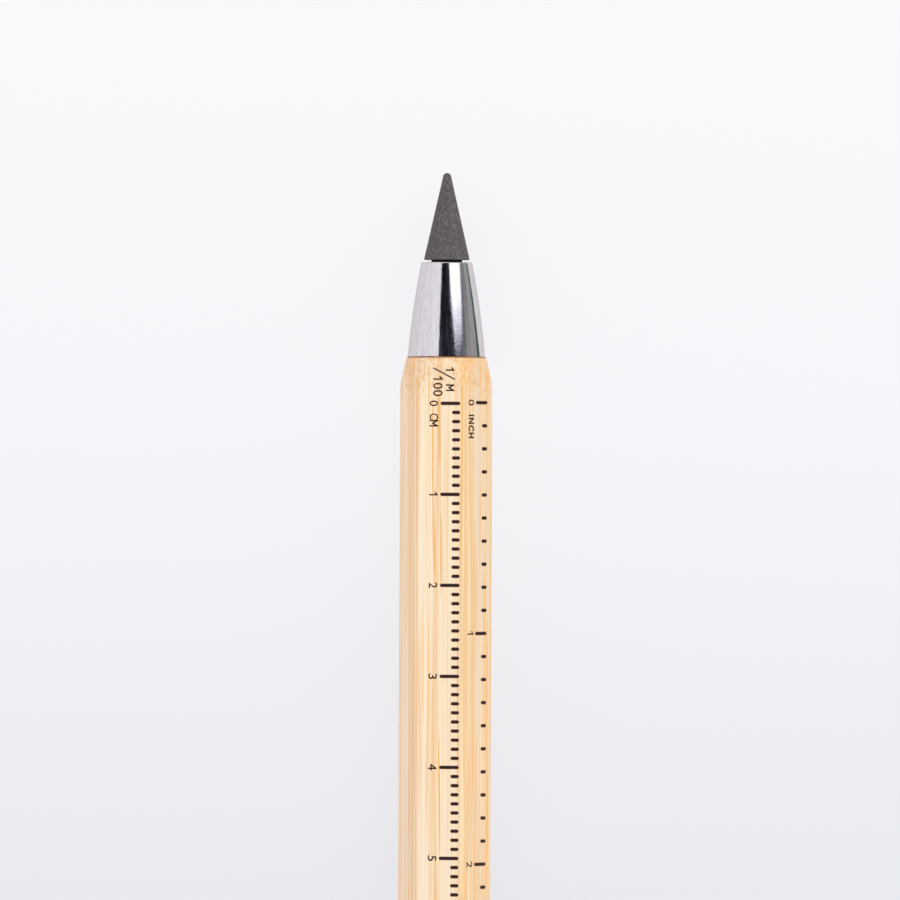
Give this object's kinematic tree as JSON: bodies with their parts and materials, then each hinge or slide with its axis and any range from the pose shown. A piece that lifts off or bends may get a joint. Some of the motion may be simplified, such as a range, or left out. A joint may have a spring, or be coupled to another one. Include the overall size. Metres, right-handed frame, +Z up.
{
  "type": "inkless tool pencil",
  "caption": "Hexagonal bamboo pencil with a screw-in alloy writing tip, a polished nose, a spirit level, a pocket clip and a stylus cap over a two-ended driver bit.",
  "frame": {"origin": "middle of the flat that the pencil lies on, half way along the whole pencil and straight below its axis", "axes": "+Z up, the writing point looks along -X and the stylus along +X, and the clip is on the -Y side"},
  "size_m": [0.1488, 0.0125, 0.0099],
  "materials": {
    "writing_alloy": "fine matte, dark warm grey",
    "steel": "machined",
    "black_rubber": "matte black",
    "polished_nickel": "mirror polished plating",
    "brass": "turned",
    "bamboo": "fine sanded, oiled bamboo with lengthwise veins",
    "clear_acrylic": "clear and polished",
    "dyed_liquid": "clear yellow green",
    "air": "clear",
    "silicone": "matte translucent white",
    "magnet_plate": "nickel plated"
  },
  "bodies": {
    "pencil_body": {"nose_cone": "polished_nickel", "tip_holder": "brass", "barrel": "bamboo", "level_vial": "clear_acrylic", "level_plug": "clear_acrylic", "level_liquid": "dyed_liquid", "vial_cushion": "silicone", "rear_insert": "brass", "bit_magnet": "magnet_plate", "rear_collar": "polished_nickel", "cap_ring": "black_rubber"},
    "washer": {"tip_washer": "black_rubber"},
    "tip": {"writing_tip": "writing_alloy", "tip_stud": "steel"},
    "bubble": {"level_bubble": "air"},
    "bit": {"driver_bit": "steel"},
    "clip": {"pocket_clip": "polished_nickel"},
    "cap": {"end_cap": "polished_nickel", "stylus_core": "brass", "stylus_dome": "black_rubber"}
  },
  "joints": [
    {"name": "tip_travel", "type": "slide", "parent": "pencil_body", "child": "washer", "axis": [-1, 0, 0], "range_m": [0, 0.0045]},
    {"name": "tip_turn", "type": "hinge", "parent": "washer", "child": "tip", "pos_m": [-0.06, 0, 0.0045], "axis": [-1, 0, 0], "range_deg": [0, 3600]},
    {"name": "cap_pull", "type": "slide", "parent": "pencil_body", "child": "cap", "axis": [1, 0, 0], "range_m": [0, 0.02]},
    {"name": "bit_float", "type": "slide", "parent": "pencil_body", "child": "bit", "axis": [1, 0, 0], "range_m": [0, 0.0006]},
    {"name": "clip_flex", "type": "hinge", "parent": "pencil_body", "child": "clip", "pos_m": [0.05042, -0.00333, 0.00642], "axis": [0, 0.5, 0.866], "range_deg": [0, 5], "stiffness_Nm_per_rad": 1},
    {"name": "bubble_run", "type": "slide", "parent": "pencil_body", "child": "bubble", "axis": [1, 0, 0], "range_m": [-0.0025, 0.0025]}
  ],
  "couplings": [
    {"joint": "tip_turn", "follows": "tip_travel", "rad_per_m": 13963}
  ]
}
